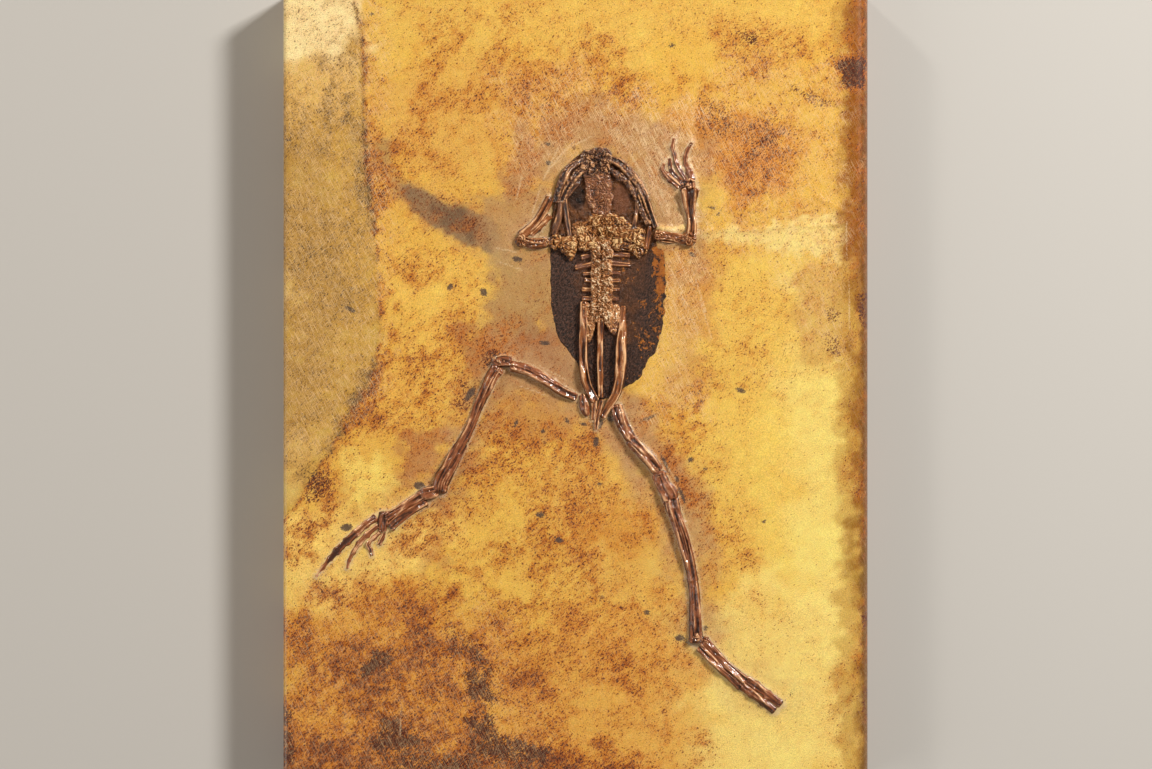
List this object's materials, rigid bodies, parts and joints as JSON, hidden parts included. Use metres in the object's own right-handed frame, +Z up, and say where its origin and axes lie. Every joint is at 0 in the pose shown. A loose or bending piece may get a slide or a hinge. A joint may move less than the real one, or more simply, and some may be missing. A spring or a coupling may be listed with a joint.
{
  "type": "fossil frog slab",
  "caption": "Rectangular amber resin slab lying flat, with a frog's fossil skeleton and its dark skin film in low relief on the upper face.",
  "frame": {"origin": "centre of the slab's underside, where it rests on the table", "axes": "+Z up out of the fossil's face, +Y along the slab's long side from the frog's pelvis to its head, +X to the right of the slab as seen from above"},
  "size_m": [0.1264, 0.172, 0.0136],
  "materials": {
    "resin": "amber casting resin, mottled and speckled brown, satin",
    "skin_film": "thin black-brown film of fossil skin, finely granular, low sheen",
    "limb_bone": "fossil bone, copper brown under clear lacquer, glossy",
    "skull_bone": "fossil bone, dark brown and pitted under clear lacquer, glossy",
    "spine_bone": "fossil bone, golden brown and granular under clear lacquer, glossy"
  },
  "bodies": {
    "root": {"ankle_left": "limb_bone", "body_film": "skin_film", "carpals_right": "limb_bone", "clavicle_left": "limb_bone", "coracoid_right": "limb_bone", "femur_head_left": "limb_bone", "femur_left": "limb_bone", "femur_right_lower": "limb_bone", "femur_right_upper": "limb_bone", "fibulare_left": "limb_bone", "fibulare_right": "limb_bone", "finger_right_1": "limb_bone", "finger_right_2": "limb_bone", "finger_right_3": "limb_bone", "finger_right_4": "limb_bone", "frontoparietal": "skull_bone", "humerus_left": "limb_bone", "humerus_right": "limb_bone", "ilium_left": "limb_bone", "ilium_right": "limb_bone", "ischium": "limb_bone", "knee_left": "limb_bone", "knee_right": "limb_bone", "mandible_left": "skull_bone", "mandible_right": "skull_bone", "maxilla_left": "skull_bone", "maxilla_right": "skull_bone", "metatarsal_right_1": "limb_bone", "metatarsal_right_2": "limb_bone", "midfoot_left": "limb_bone", "occiput": "spine_bone", "pterygoid_left": "skull_bone", "pubis_left": "limb_bone", "quadratojugal_left": "skull_bone", "radioulna_left": "limb_bone", "radioulna_right": "limb_bone", "sacrum": "spine_bone", "scapula_left": "limb_bone", "scapula_right": "limb_bone", "slab": "resin", "snout": "skull_bone", "squamosal_left": "skull_bone", "squamosal_right": "skull_bone", "tibiale_left": "limb_bone", "tibiale_right": "limb_bone", "tibiofibula_left": "limb_bone", "tibiofibula_right": "limb_bone", "toe_left_1": "limb_bone", "toe_left_2": "limb_bone", "toe_left_3": "limb_bone", "toe_left_4": "limb_bone", "urostyle": "limb_bone", "vertebra_1": "spine_bone", "vertebra_2": "spine_bone", "vertebra_3": "spine_bone", "vertebra_4": "spine_bone", "vertebra_5": "spine_bone", "vertebra_6": "spine_bone", "vertebra_7": "spine_bone", "vertebra_8": "spine_bone"}
  },
  "joints": []
}
